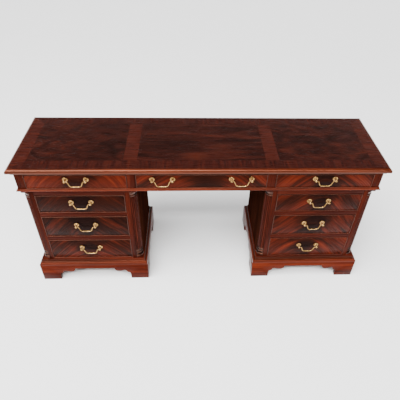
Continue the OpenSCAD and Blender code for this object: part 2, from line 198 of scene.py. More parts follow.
def finishShader(tree, shader, colour, roughness, height, look):
    joinShader(tree, shader, colour, roughness, height, look)
    shader.inputs["Specular IOR Level"].default_value = look["specular"]
    shader.inputs["Specular Tint"].default_value = (*look["sheenTint"], 1)


def grainVector(tree, name="grain"):
    return addNode(tree, "ShaderNodeAttribute", attribute_name=name).outputs["Vector"]


def woodMaterial(name, look, alongX=False):
    # straight-grained board: the grain runs along the first coordinate
    material, tree, shader = newMaterial(name, look["middle"])
    along = addNode(tree, "ShaderNodeTexCoord").outputs["Object"] if alongX else grainVector(tree)
    broad = noise(tree, stretch(tree, along, look["broad"]), 2.0, 0.4)
    fibre = noise(tree, stretch(tree, along, look["fibre"]), 4.0, 0.2, 0.6)
    pores = noise(tree, stretch(tree, along, look["pores"]), 1.0)
    mixed = weigh(tree, 0.0, (broad, 1 - look["fibreShare"]), (fibre, look["fibreShare"]))
    stops = zip(look["stops"], (look["dark"], look["middle"], look["light"]))
    colour = ramp(tree, mixed, list(stops))
    pore = fade(tree, pores, *look["poreRange"])
    colour = blend(tree, calc(tree, "MULTIPLY", pore, look["poreShare"]), colour, look["dark"])
    # stain and painted shade: where the recess attribute is set, the colour darkens towards the look's recess colour
    recess = addNode(tree, "ShaderNodeAttribute", attribute_name="recess").outputs["Fac"]
    colour = blend(tree, recess, colour, look["stainAndShade"])
    roughness = calc(tree, "MULTIPLY_ADD", fibre, look["unevenness"], look["roughness"])
    height = calc(tree, "SUBTRACT", calc(tree, "MULTIPLY", fibre, look["fibreRelief"]), pore)
    finishShader(tree, shader, colour, roughness, height, look)
    return material


solidLook = {
    "dark": (0.016, 0.003, 0.0015),
    "middle": (0.058, 0.009, 0.004),
    "light": (0.130, 0.021, 0.008),
    "stainAndShade": (0.006, 0.002, 0.001),  # colour of the recess darkening: stain settled in the recesses, and painted shade in crevices, gaps and under mouldings
    "stops": (0.30, 0.50, 0.70),  # where the three tones lie
    "broad": (2.0, 24.0, 24.0),
    "fibre": (9.0, 260.0, 260.0),
    "pores": (70.0, 1100.0, 1100.0),
    "fibreShare": 0.45,
    "poreShare": 0.45,
    "poreRange": (0.60, 0.72),
    "fibreRelief": 0.4,
    "unevenness": 0.12,  # how much the fibre varies the roughness
    "roughness": 0.13,
    "specular": 0.14,
    "sheenTint": (1.0, 0.40, 0.25),
    "bump": 0.12,
    "depth": 0.4 * mm,
}
frameLook = dict(
    solidLook,
    dark=(0.009, 0.002, 0.0015),
    middle=(0.033, 0.005, 0.0025),
    light=(0.075, 0.0125, 0.006),
    specular=0.03,
)
# painted highlight: the cock beads take a lighter copy of the mahogany, as where they catch the light; their higher
# gloss is real
litBeadLook = dict(
    solidLook,
    dark=(0.024, 0.004, 0.002),
    middle=(0.066, 0.010, 0.005),
    light=(0.135, 0.027, 0.012),
    specular=0.5,
)
plinthLook = dict(
    solidLook,
    dark=(0.015, 0.003, 0.002),
    middle=(0.053, 0.007, 0.003),
    light=(0.115, 0.017, 0.006),
    specular=0.02,
)
columnLook = dict(
    frameLook,
    dark=(0.003, 0.0012, 0.001),
    middle=(0.009, 0.0028, 0.0018),
    light=(0.024, 0.006, 0.004),
    specular=0.5,
    roughness=0.08,
)
edgeLook = dict(
    solidLook,
    dark=(0.014, 0.003, 0.001),
    middle=(0.046, 0.008, 0.003),
    light=(0.095, 0.018, 0.006),
    specular=0.45,
    roughness=0.08,
)
# painted shade: a darker copy of the mahogany for the pedestal sides, as if they stood in shadow
shadedSideLook = dict(
    solidLook,
    dark=(0.007, 0.0025, 0.0015),
    middle=(0.020, 0.0055, 0.003),
    light=(0.044, 0.011, 0.006),
    specular=0.0,
    roughness=0.3,
)
# dark wood for the backs and inner rails, also used as painted shade inside the drawer openings
darkWoodAndShadeLook = dict(
    solidLook,
    dark=(0.004, 0.002, 0.001),
    middle=(0.012, 0.004, 0.003),
    light=(0.024, 0.007, 0.004),
    roughness=0.42,
    specular=0.12,
)
drawerLook = dict(
    solidLook,
    dark=(0.16, 0.075, 0.030),
    middle=(0.27, 0.145, 0.066),
    light=(0.37, 0.22, 0.11),
    stainAndShade=(0.08, 0.04, 0.02),
    roughness=0.5,
    sheenTint=(1.0, 0.9, 0.75),
    poreShare=0.25,
)
mahogany = woodMaterial("polishedMahogany", solidLook)
frameMahogany = woodMaterial("polishedFrameMahogany", frameLook)
litBeadMahogany = woodMaterial("polishedLitBeadMahogany", litBeadLook)
plinthMahogany = woodMaterial("polishedPlinthMahogany", plinthLook)
columnMahogany = woodMaterial("polishedColumnMahogany", columnLook)
edgeMahogany = woodMaterial("polishedEdgeMahogany", edgeLook)
shadedSideMahogany = woodMaterial("polishedShadedSideMahogany", shadedSideLook)
darkMahoganyAndShade = woodMaterial("darkMahoganyAndShade", darkWoodAndShadeLook)
drawerWood = woodMaterial("waxedDrawerWood", drawerLook)
darkAlongX = woodMaterial("darkMahoganyAlongX", darkWoodAndShadeLook, alongX=True)
drawerAlongX = woodMaterial("waxedDrawerWoodAlongX", drawerLook, alongX=True)

flameLook = {
    "stops": [
        (0.25, (0.003, 0.001, 0.001)),
        (0.41, (0.015, 0.003, 0.0015)),
        (0.54, (0.056, 0.0072, 0.003)),
        (0.66, (0.110, 0.0155, 0.0055)),
        (0.82, (0.230, 0.040, 0.012)),
    ],
    "apex": 80 * mm,  # how round the arch of the figure is over the middle
    "fall": 1.25,  # slope of the streaks away from the middle
    "warp": 24 * mm,  # how far the streaks wander
    "heart": (10 * mm, 95 * mm),  # dark plume, from its core to its edge
    "heartDepth": 0.17,
    "spread": -0.35,  # the plume is widest along the top
    "waver": ((7.0, 9.0, 1.0), 0.16),  # scale of the noise, and how far it moves the plume's edge
    "lean": ((3.0, 4.0, 1.7), 0.09),  # the same for the plume's middle
    "bands": (24.0, 4.0),  # across and along the streaks
    "streaks": (95.0, 7.0),
    "fibre": (420.0, 22.0),
    "tone": 0.07,  # what the weighted bands, streaks and fibre are added to
    "weights": (0.56, 0.24, 0.10),
    "unevenness": 0.10,
    "roughness": 0.22,
    "specular": 0.05,
    "sheenTint": (1.0, 0.35, 0.2),
    "bump": 0.05,
    "depth": 0.2 * mm,
}


def flameMaterial():
    # book-matched flame figure, arching down both ways from a dark plume
    look = flameLook
    material, tree, shader = newMaterial("flameVeneer", (0.062, 0.010, 0.004))
    figure = grainVector(tree, "figure")
    x, z, leaf = split(tree, figure)
    waver = noise(tree, stretch(tree, figure, look["waver"][0]), 3.0)
    lean = noise(tree, stretch(tree, figure, look["lean"][0]), 1.0)
    shift = calc(tree, "MULTIPLY", calc(tree, "SUBTRACT", lean, 0.5), look["lean"][1])
    side = calc(tree, "ABSOLUTE", calc(tree, "ADD", x, shift))
    arch = calc(tree, "SQRT", calc(tree, "ADD", calc(tree, "MULTIPLY", side, side), look["apex"] ** 2))
    across = weigh(tree, z, (arch, look["fall"]), (waver, look["warp"]))
    bands = noise(tree, flatPlace(tree, across, side, look["bands"], leaf), 2.0, 0.5)
    streaks = noise(tree, flatPlace(tree, across, side, look["streaks"], leaf), 3.0, 0.5)
    fibre = noise(tree, flatPlace(tree, across, side, look["fibre"], leaf), 3.0, 0.3)
    plume = weigh(tree, side, (z, look["spread"]))
    plume = weigh(tree, plume, (calc(tree, "SUBTRACT", waver, 0.5), look["waver"][1]))
    heart = calc(tree, "SUBTRACT", 1.0, fade(tree, plume, *look["heart"]))
    parts = zip((bands, streaks, fibre), look["weights"])
    tone = weigh(tree, look["tone"], *parts, (heart, -look["heartDepth"]))
    shade = addNode(tree, "ShaderNodeAttribute", attribute_name="shade").outputs["Fac"]
    colour = ramp(tree, calc(tree, "SUBTRACT", tone, shade), look["stops"])
    roughness = calc(tree, "MULTIPLY_ADD", fibre, look["unevenness"], look["roughness"])
    finishShader(tree, shader, colour, roughness, fibre, look)
    return material


flameVeneer = flameMaterial()

topLook = {
    "band": 78 * mm,  # inner line of the cross band, from the edge
    "dividers": (303 * mm, 370 * mm),  # the two cross-banded strips, from the middle
    "line": 1.2 * mm,
    "lineColour": (0.004, 0.002, 0.001),
    "panel": [
        (0.30, (0.004, 0.0015, 0.001)),
        (0.46, (0.0120, 0.0030, 0.0022)),
        (0.58, (0.023, 0.0050, 0.0032)),
        (0.74, (0.046, 0.0092, 0.0046)),
    ],
    "banding": [
        (0.30, (0.0095, 0.0022, 0.0018)),
        (0.50, (0.0190, 0.0040, 0.0028)),
        (0.72, (0.0400, 0.0078, 0.0045)),
    ],
    "crossSheenLift": 0.11,  # painted sheen: how much lighter the ends and the strips, whose grain runs along x, are painted than the front and back bands
    "bandGrain": (9.0, 90.0),  # along and across the grain
    "bandFine": (25.0, 420.0),
    "waves": (3.2, 26.0),
    "swirls": (7.5, 11.0),
    "fine": (14.0, 300.0),
    "fineShare": 0.3,
    "unevenness": 0.08,
    "roughness": 0.24,
    "specular": 0.13,
    "sheenTint": (1.0, 0.5, 0.35),
    "bump": 0.04,
    "depth": 0.2 * mm,
}


def topMaterial():
    # three figured panels inside a cross-banded border, drawn on the whole top
    look = topLook
    material, tree, shader = newMaterial("bandedTopVeneer", (0.046, 0.010, 0.006))
    x, y, z = split(tree, addNode(tree, "ShaderNodeTexCoord").outputs["Object"])
    low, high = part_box("top_edge_moulding")
    middleY = (low.y + high.y) / 2
    y = calc(tree, "SUBTRACT", y, middleY)
    fromEnd = calc(tree, "SUBTRACT", high.x, calc(tree, "ABSOLUTE", x))
    fromFront = calc(tree, "SUBTRACT", high.y - middleY, calc(tree, "ABSOLUTE", y))
    edge = calc(tree, "MINIMUM", fromEnd, fromFront)
    inBand = calc(tree, "LESS_THAN", edge, look["band"])
    atEnd = calc(tree, "LESS_THAN", fromEnd, fromFront)
    sideways = calc(tree, "ABSOLUTE", x)
    inDivider = calc(
        tree,
        "MULTIPLY",
        calc(tree, "GREATER_THAN", sideways, look["dividers"][0]),
        calc(tree, "LESS_THAN", sideways, look["dividers"][1]),
    )
    inDivider = calc(tree, "MULTIPLY", inDivider, calc(tree, "SUBTRACT", 1.0, inBand))
    # grain runs across the bands: along x at the ends and dividers, along y at the front and back
    runsX = calc(tree, "MAXIMUM", calc(tree, "MULTIPLY", atEnd, inBand), inDivider)
    bandPlaces = []
    for scale in (look["bandGrain"], look["bandFine"]):
        inputs = {0: runsX, 4: flatPlace(tree, x, y, scale[::-1], 7.0), 5: flatPlace(tree, x, y, scale, 3.0)}
        bandPlaces.append(addNode(tree, "ShaderNodeMix", inputs, data_type="VECTOR").outputs[1])
    coarse, hairs = noise(tree, bandPlaces[0], 2.0, 0.3), noise(tree, bandPlaces[1], 3.0)
    fineShare = look["fineShare"]
    bandTone = weigh(tree, 0.0, (coarse, 1 - fineShare), (hairs, fineShare), (runsX, look["crossSheenLift"]))
    banding = ramp(tree, bandTone, look["banding"])
    # the panels: long waves in the middle one, clouded swirls in the outer two
    outer = calc(tree, "GREATER_THAN", sideways, look["dividers"][1])
    waves = noise(tree, flatPlace(tree, x, y, look["waves"], 1.0), 3.0, 1.2)
    swirls = noise(tree, flatPlace(tree, x, y, look["swirls"], 5.0), 3.0, 1.8)
    fine = noise(tree, flatPlace(tree, x, y, look["fine"], 1.0), 3.0, 0.5)
    figure = addNode(tree, "ShaderNodeMix", {0: outer, 2: waves, 3: swirls}, data_type="FLOAT").outputs[0]
    panel = ramp(tree, weigh(tree, 0.0, (figure, 1 - fineShare), (fine, fineShare)), look["panel"])
    onBanding = calc(tree, "MAXIMUM", inBand, inDivider)
    colour = blend(tree, onBanding, panel, banding)
    lines = calc(tree, "ABSOLUTE", calc(tree, "SUBTRACT", edge, look["band"]))
    for place in look["dividers"]:
        gap = calc(tree, "ABSOLUTE", calc(tree, "SUBTRACT", sideways, place))
        lines = calc(tree, "MINIMUM", lines, calc(tree, "ADD", gap, inBand))
    colour = blend(tree, calc(tree, "LESS_THAN", lines, look["line"] / 2), colour, look["lineColour"])
    roughness = calc(tree, "MULTIPLY_ADD", fine, look["unevenness"], look["roughness"])
    finishShader(tree, shader, colour, roughness, fine, look)
    return material


bandedTop = topMaterial()

brassLook = {
    "bright": (0.43, 0.26, 0.095),
    "dull": (0.16, 0.085, 0.028),
    "roughness": 0.14,
    "spread": 0.24,
    "patches": (130.0, 130.0, 130.0),
    "patchRange": (0.42, 0.68),
    "scratches": (2500.0, 500.0, 900.0),
    "bump": 0.06,
    "depth": 0.05 * mm,
}
steelLook = dict(
    brassLook, bright=(0.55, 0.55, 0.56), dull=(0.36, 0.35, 0.34), roughness=0.28, spread=0.20
)


def metalMaterial(name, look):
    material, tree, shader = newMaterial(name, look["bright"])
    place = addNode(tree, "ShaderNodeTexCoord").outputs["Object"]
    patches = noise(tree, stretch(tree, place, look["patches"]), 3.0)
    scratches = noise(tree, stretch(tree, place, look["scratches"]), 2.0)
    colour = blend(tree, fade(tree, patches, *look["patchRange"]), look["bright"], look["dull"])
    roughness = calc(tree, "MULTIPLY_ADD", patches, look["spread"], look["roughness"])
    joinShader(tree, shader, colour, roughness, scratches, look)
    shader.inputs["Metallic"].default_value = 1.0
    return material


brass = metalMaterial("agedBrass", brassLook)
steel = metalMaterial("plainSteel", steelLook)
print("materials made")


meshRules = {
    "sharp": 25,  # an edge that turns more than this is eased
    "flat": 0.5,
    "weld": 0.01 * mm,
}


def arcPoints(x, y, rx, ry, start, end, steps):
    turns = [math.radians(start + (end - start) * i / steps) for i in range(steps + 1)]
    return [(x + rx * math.cos(a), y + ry * math.sin(a)) for a in turns]


def islandsOf(work):
    left, found = set(work.faces), []
    for face in work.faces:
        if face not in left:
            continue
        left.discard(face)
        island, edge = [], [face]
        while edge:
            current = edge.pop()
            island.append(current)
            for side in current.edges:
                for other in side.link_faces:
                    if other in left:
                        left.discard(other)
                        edge.append(other)
        found.append(island)
    return found


def extent(faces):
    corners = [v.co for f in faces for v in f.verts]
    return [min(c[i] for c in corners) for i in range(3)], [max(c[i] for c in corners) for i in range(3)]


def drawGrain(work):
    # each board keeps its own place along, across and through the grain
    layer = work.loops.layers.float_vector.new("grain")
    for island in islandsOf(work):
        low, high = extent(island)
        order = sorted(range(3), key=lambda i: low[i] - high[i])
        start = (hand.uniform(0, 40), hand.uniform(0, 4), hand.uniform(0, 4))
        for face in island:
            for loop in face.loops:
                loop[layer] = Vector([loop.vert.co[order[i]] + start[i] for i in range(3)])


def makePiece(name, work, material, body, nodes, smooth=35):
    mesh = bpy.data.meshes.new(name)
    work.to_mesh(mesh)
    work.free()
    for each in material if isinstance(material, list) else [material]:
        mesh.materials.append(each)
    mesh.shade_smooth()
    mesh.set_sharp_from_angle(angle=math.radians(smooth))
    piece = bpy.data.objects.new(name, mesh)
    scene.collection.objects.link(piece)
    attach(piece, body)
    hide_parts(*nodes)


def refinish(node, material):
    # a CAD node that keeps its shape and gets its wood
    part = frame["nodes"][node]
    part.data.materials.clear()
    part.data.materials.append(material)


def roundEdges(work, width):
    least = math.radians(meshRules["sharp"])
    sharp = [e for e in work.edges if len(e.link_faces) == 2 and e.calc_face_angle(0) > least]
    bmesh.ops.bevel(work, geom=sharp, offset=width, segments=2, profile=0.5, affect="EDGES", clamp_overlap=True)


def boardsFrom(node, width):
    # a merged copy of a CAD node's boards with eased edges
    work = bmesh.new()
    work.from_mesh(frame["nodes"][node].data)
    bmesh.ops.remove_doubles(work, verts=work.verts, dist=meshRules["weld"])
    flat = math.radians(meshRules["flat"])
    bmesh.ops.dissolve_limit(work, angle_limit=flat, verts=work.verts, edges=work.edges)
    roundEdges(work, width)
    drawGrain(work)
    return work


def addSolid(work, sections):
    # skins a run of outlines that all have the same number of points
    rings = [[work.verts.new(p) for p in outline] for outline in sections]
    count = len(rings[0])
    for near, far in zip(rings, rings[1:]):
        for i in range(count):
            j = (i + 1) % count
            work.faces.new((near[i], near[j], far[j], far[i]))
    work.faces.new(list(reversed(rings[0])))
    work.faces.new(rings[-1])
    return rings


# gives outline points a darkening: stain and painted shade
def stainedAndShaded(points, depth):
    return [(x, y, depth) for x, y in points]


def outwards(work):
    bmesh.ops.recalc_face_normals(work, faces=work.faces)


def recessOf(work):
    # how dark each point is painted: stain in the recesses and painted shade
    return work.verts.layers.float.get("recess") or work.verts.layers.float.new("recess")


def mitredFrame(low, high, profile, glue, place):
    # four lengths of a profile (inset, rise, darkening by stain and painted shade) round a rectangle; place turns
    # (a, b, rise) into a point
    work = bmesh.new()
    recess = recessOf(work)
    corners = [(low[0], low[1]), (high[0], low[1]), (high[0], high[1]), (low[0], high[1])]
    for i in range(4):
        start, end = Vector(corners[i]), Vector(corners[(i + 1) % 4])
        run = (end - start).normalized()
        inward = Vector((-run.y, run.x))
        sections = []
        for corner, way in ((start, 1), (end, -1)):
            points = [corner + inward * spot[0] + run * way * (spot[0] + glue) for spot in profile]
            sections.append([place(p.x, p.y, spot[1]) for p, spot in zip(points, profile)])
        for ring in addSolid(work, sections):
            for vert, spot in zip(ring, profile):
                vert[recess] = spot[2] if len(spot) > 2 else 0.0
    outwards(work)
    drawGrain(work)
    return work


topEdge = {
    "width": 40 * mm,
    "nose": 12 * mm,
    "step": 1.5 * mm,
    "round": 4 * mm,
    "cove": 8 * mm,
    "fillet": 2 * mm,
    "flat": 2 * mm,  # flat strip inside the nose's eased edge
    "ease": 0.3 * mm,
    "tuck": 3 * mm,  # how far the cove starts behind the round
    "lip": 18 * mm,
    "board": 22 * mm,
    "glue": 0.03 * mm,
}


def topEdgeProfile(height):
    s = topEdge
    noseRise = height - s["step"] - s["nose"]
    coveTop = s["fillet"] + s["cove"]
    cove = s["round"] + s["tuck"]
    return (
        [(s["width"], height), (s["nose"] + s["flat"], height), (s["nose"] + 2 * s["ease"], height)]
        + [(s["nose"], height - s["ease"])]
        + arcPoints(s["nose"], noseRise, s["nose"], s["nose"], 90, 180, 12)
        + arcPoints(s["round"], coveTop + s["fillet"] + s["round"], s["round"], s["round"], 180, 270, 6)
        + [(cove, coveTop + s["fillet"])]
        # stain and painted shade: the cove and the underside of the edge are darkened
        + stainedAndShaded(arcPoints(cove, s["fillet"], s["cove"], s["cove"], 90, 0, 8), 0.6)
        + stainedAndShaded([(cove + s["cove"], 0), (s["lip"], 0), (s["lip"], height - s["board"])], 0.8)
        + [(s["width"], height - s["board"], 0.8)]
    )


def makeTop():
    low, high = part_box("top_edge_moulding")
    profile = topEdgeProfile(high.z - low.z)
    work = mitredFrame(low, high, profile, topEdge["glue"], lambda a, b, rise: (a, b, low.z + rise))
    for face in work.faces:
        onTop = face.normal.z > 0.99 and face.calc_center_median().z > high.z - 0.1 * mm
        face.material_index = 1 if onTop else 0
    makePiece("topEdgeMoulding", work, [edgeMahogany, bandedTop], "carcase", ["top_edge_moulding"])
    refinish("top_board", bandedTop)


makeTop()
print("top made")

boardEdges = {
    "frieze_ends": 0.5 * mm,
    "frieze_dividers": 0.5 * mm,
    "frieze_back": 0.4 * mm,
    "left_sides": 0.5 * mm,
    "right_sides": 0.5 * mm,
    "left_back": 0.4 * mm,
    "right_back": 0.4 * mm,
    "left_face_frame": 0.5 * mm,
    "right_face_frame": 0.5 * mm,
}


def makeBoards():
    for node, width in boardEdges.items():
        isBack = node.endswith("_back")
        material = darkMahoganyAndShade if isBack else shadedSideMahogany if node.endswith("_sides") else frameMahogany
        work = boardsFrom(node, width)
        if node.endswith(("_face_frame", "_dividers")):
            for face in work.faces:
                face.material_index = 0 if face.normal.y < -0.5 else 1  # painted shade: all but the front faces of the frames and dividers take the dark wood, so the openings read dark
            material = [frameMahogany, darkMahoganyAndShade]
        makePiece(node + "_boards", work, material, "carcase", [node])
    for node in ("frieze_top_rails", "frieze_base_board"):
        refinish(node, darkAlongX)
    for node in ("left_dust_boards", "right_dust_boards"):
        refinish(node, drawerAlongX)


makeBoards()

waist = {"fillet": 4 * mm, "depth": 20 * mm, "glue": 0.03 * mm}
baseMould = {"fillet": 3 * mm, "top": 4 * mm, "glue": 0.03 * mm}


def waistProfile(height):
    bead = height / 3
    return (
        # stain and painted shade where the moulding meets the case and in the crevice over the bead
        [(waist["depth"], height, 0.8), (waist["fillet"] + 0.4 * mm, height), (waist["fillet"], height - 0.4 * mm)]
        + [(waist["fillet"], 2 * bead, 0.9)]
        + arcPoints(bead, bead, bead, bead, 100, 270, 14)
        + [(waist["depth"], 0, 0.9)]
    )


def baseProfile(width, height):
    fillet = baseMould["fillet"]
    run = (width - baseMould["top"]) / 2
    rise = (height - 3 * fillet) / 2
    return (
        [(width, height), (2 * run, height)]
        # stain and painted shade in the hollow upper part of the cyma
        + stainedAndShaded(arcPoints(run, height - fillet, run, rise, 0, -90, 10), 0.55)
        + arcPoints(run, 2 * fillet, run, rise, 90, 180, 10)
        + [(0, 0.3 * mm), (0.3 * mm, 0), (width, 0)]
    )


def makeMouldings():
    low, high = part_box("waist_moulding")
    work = mitredFrame(low, high, waistProfile(high.z - low.z), waist["glue"], lambda a, b, r: (a, b, low.z + r))
    makePiece("waistMoulding", work, mahogany, "carcase", ["waist_moulding"])
    for side in ("left", "right"):
        node = side + "_base_moulding"
        low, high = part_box(node)
        width = high.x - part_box(side + "_columns")[1].x
        profile = baseProfile(width, high.z - low.z)
        work = mitredFrame(low, high, profile, baseMould["glue"], lambda a, b, r: (a, b, low.z + r))
        makePiece(side + "BaseMoulding", work, mahogany, "carcase", [node])


makeMouldings()
print("mouldings made")

plinth = {
    "foot": 98 * mm,
    "apron": 88 * mm,
    "block": 30 * mm,
    "glue": 0.1 * mm,
    "edge": 0.6 * mm,
}


def bracketCurve():
    # from the foot's inner edge towards the middle: spur, cusp and lobe
    a = plinth["apron"]
    return (
        [(0, 0), (0, 0.36 * a)]
        + arcPoints(9 * mm, 0.36 * a, 9 * mm, 0.22 * a, 180, 90, 8)
        + arcPoints(31 * mm, 0.60 * a, 13 * mm, 0.20 * a, 180, 90, 8)
        + [(42 * mm, 0.77 * a), (56 * mm, 0.72 * a)]
        + arcPoints(66 * mm, a, 22 * mm, 0.29 * a, -90, 0, 12)
    )


def plinthBoard(work, length, height, thick, place):
    half = length / 2
    curve = [(-half + plinth["foot"] + x, z) for x, z in bracketCurve()]
    outline = [(-half, 0)] + curve + [(-x, z) for x, z in reversed(curve)]
    outline += [(half, 0), (half, height), (-half, height)]
    ends = half - plinth["glue"]
    front = [place(max(-ends, min(ends, x)), 0, z) for x, z in outline]
    inner = ends - thick
    back = [place(max(-inner, min(inner, x)), thick, z) for x, z in outline]
    addSolid(work, [front, back])


def makePlinth(side):
    node = side + "_plinth"
    low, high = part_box(node)
    middle = (low + high) / 2
    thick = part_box(side + "_columns")[0].y - low.y
    work = bmesh.new()
    for turn in range(4):
        angle = math.radians(90 * turn)
        cos, sin = round(math.cos(angle)), round(math.sin(angle))
        length, reach = (high.x - low.x, high.y - low.y) if turn % 2 == 0 else (high.y - low.y, high.x - low.x)

        def place(x, y, z, cos=cos, sin=sin, reach=reach):
            y = y - reach / 2
            return (middle.x + x * cos - y * sin, middle.y + x * sin + y * cos, low.z + z)

        plinthBoard(work, length, high.z - low.z, thick, place)
    outwards(work)
    roundEdges(work, plinth["edge"])
    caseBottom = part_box(side + "_columns")[0].z
    square = [(0, 0), (1, 0), (1, 1), (0, 1)]
    for x in (low.x + thick, high.x - thick - plinth["block"]):
        for y in (low.y + thick, high.y - thick - plinth["block"]):
            gapX = plinth["glue"] * (1 if x < middle.x else -1)
            gapY = plinth["glue"] * (1 if y < middle.y else -1)
            sections = [
                [(x + gapX + a * plinth["block"], y + gapY + b * plinth["block"], z) for a, b in square]
                for z in (low.z, caseBottom)
            ]
            addSolid(work, sections)
    outwards(work)
    drawGrain(work)
    makePiece(side + "Plinth", work, plinthMahogany, "carcase", [node], 30)


for side in ("left", "right"):
    makePlinth(side)
print("plinths made")

column = {
    "side": 34 * mm,
    "block": 52 * mm,  # square block under the turning, down to the case's bottom
    "cap": 20 * mm,
    "shaft": 27 * mm,
    "shaftStart": 60 * mm,
    "shaftEnd": 38 * mm,
    "reedLap": 3 * mm,
    "reeds": 5,
    "reedSteps": 120,
    "reedSides": 14,
    "reedTip": 0.02,  # keeps a reed's end from closing to a point
    "ringsBelow": [(8 * mm, 8 * mm, 0), (34 * mm, 5 * mm, 2 * mm), (52 * mm, 3 * mm, 3 * mm)],
    "ringsAbove": [(30 * mm, 4 * mm, 2 * mm), (8 * mm, 4 * mm, 1 * mm)],
    "turnSteps": 14,
    "edge": 0.5 * mm,
    "weld": 0.002 * mm,
    "stainAndShade": (1.2 * mm, 3.7 * mm),  # depth under the reeds' crowns where the stain and painted shade start and are full
    "darkest": 0.9,
}


def columnProfile(bottom, top):
    s = column
    points = [(0, bottom)]
    for up, half, inside in s["ringsBelow"]:
        points += arcPoints(s["side"] - inside - half, bottom + up, half, half, -90, 90, 8)
    points += [(s["shaft"], bottom + s["shaftStart"]), (s["shaft"], top - s["shaftEnd"])]
    for down, half, inside in s["ringsAbove"]:
        points += arcPoints(s["side"] - inside - half, top - down, half, half, -90, 90, 8)
    return points + [(0, top)]


def reedRadius():
    return column["shaft"] * math.sin(math.radians(45 / column["reeds"]))


def newTree(name, inputs):
    tree = bpy.data.node_groups.new(name, "GeometryNodeTree")
    tree.interface.new_socket("Geometry", in_out="OUTPUT", socket_type="NodeSocketGeometry")
    names = {}
    for label, kind in inputs.items():
        socket = tree.interface.new_socket(label, in_out="INPUT", socket_type="NodeSocket" + kind)
        names[label] = socket.identifier
    return tree, names, tree.nodes.new("NodeGroupInput").outputs


def finishTree(tree, copies, finish):
    copies = addNode(tree, "GeometryNodeRealizeInstances", {0: copies}).outputs[0]
    copies = addNode(tree, "GeometryNodeSetMaterial", {0: copies, "Material": finish}).outputs[0]
    tree.links.new(copies, tree.nodes.new("NodeGroupOutput").inputs[0])


reedSockets = {
    "Axis": "Vector",
    "Start": "Float",
    "Shaft": "Float",
    "Reed": "Float",
    "Height": "Float",
    "Count": "Int",
    "Finish": "Material",
}


def reedTree():
    # reeds stood on a quarter arc: rounded rods at even steps between the two end faces
    tree, names, given = newTree("columnReeds", reedSockets)
    # one reed: a line whose radius swells from a rounded tip
    top = join(tree, 0.0, 0.0, given["Height"])
    line = addNode(tree, "GeometryNodeCurvePrimitiveLine", {1: top}).outputs[0]
    line = addNode(tree, "GeometryNodeResampleCurve", {0: line, "Count": column["reedSteps"]}).outputs[0]
    along = addNode(tree, "GeometryNodeSplineParameter").outputs["Length"]
    toEnd = calc(tree, "MINIMUM", along, calc(tree, "SUBTRACT", given["Height"], along))
    share = calc(tree, "MINIMUM", calc(tree, "DIVIDE", toEnd, given["Reed"]), 1.0)
    share = calc(tree, "POWER", calc(tree, "SUBTRACT", 1.0, share), 2.0)
    swell = calc(tree, "SQRT", calc(tree, "MAXIMUM", calc(tree, "SUBTRACT", 1.0, share), column["reedTip"]))
    inputs = {"Resolution": column["reedSides"], "Radius": given["Reed"]}
    ring = addNode(tree, "GeometryNodeCurvePrimitiveCircle", inputs).outputs[0]
    inputs = {0: line, 1: ring, "Scale": swell, "Fill Caps": True}
    sweep = addNode(tree, "GeometryNodeCurveToMesh", inputs).outputs[0]
    # their places on the arc
    points = addNode(tree, "GeometryNodePoints", {"Count": given["Count"]}).outputs[0]
    index = addNode(tree, "GeometryNodeInputIndex").outputs[0]
    turn = calc(tree, "DIVIDE", calc(tree, "ADD", index, 0.5), given["Count"])
    turn = calc(tree, "MULTIPLY_ADD", turn, math.pi / 2, given["Start"])
    placeX = calc(tree, "MULTIPLY", calc(tree, "COSINE", turn), given["Shaft"])
    placeY = calc(tree, "MULTIPLY", calc(tree, "SINE", turn), given["Shaft"])
    inputs = {0: join(tree, placeX, placeY), 1: given["Axis"]}
    place = addNode(tree, "ShaderNodeVectorMath", inputs, operation="ADD").outputs[0]
    points = addNode(tree, "GeometryNodeSetPosition", {0: points, "Position": place}).outputs[0]
    reeds = addNode(tree, "GeometryNodeInstanceOnPoints", {"Points": points, "Instance": sweep}).outputs[0]
    finishTree(tree, reeds, given["Finish"])
    return tree, names


def bakeTree(tree, names, values, host=None):
    # runs a tree and returns its result as a bmesh
    carrier = host or bpy.data.objects.new("carrier", bpy.data.meshes.new("carrier"))
    scene.collection.objects.link(carrier)
    modifier = carrier.modifiers.new("build", "NODES")
    modifier.node_group = tree
    for label, value in values.items():
        modifier[names[label]] = value
    graph = bpy.context.evaluated_depsgraph_get()
    mesh = bpy.data.meshes.new_from_object(carrier.evaluated_get(graph))
    carrier.modifiers.clear()
    bpy.data.objects.remove(carrier)
    work = bmesh.new()
    work.from_mesh(mesh)
    bpy.data.meshes.remove(mesh)
    return work


def addWork(target, extra):
    mesh = bpy.data.meshes.new("extra")
    extra.to_mesh(mesh)
    extra.free()
    target.from_mesh(mesh)
    bpy.data.meshes.remove(mesh)


def stainAndShadeColumns(work, low, high):
    # darkens the grooves between the reeds and the necks between the rings: stain in the hollows and painted shade
    layer = recessOf(work)
    s = column
    crown = s["shaft"] + reedRadius()
    start, full = s["stainAndShade"]
    bottom, top = low.z + s["block"], high.z - s["cap"]
    for vert in work.verts:
        if not bottom < vert.co.z < top:
            continue
        axisX = low.x + s["side"] if vert.co.x < (low.x + high.x) / 2 else high.x - s["side"]
        reach = math.hypot(vert.co.x - axisX, vert.co.y - low.y - s["side"])
        vert[layer] = max(0.0, min(s["darkest"], (crown - reach - start) / (full - start)))


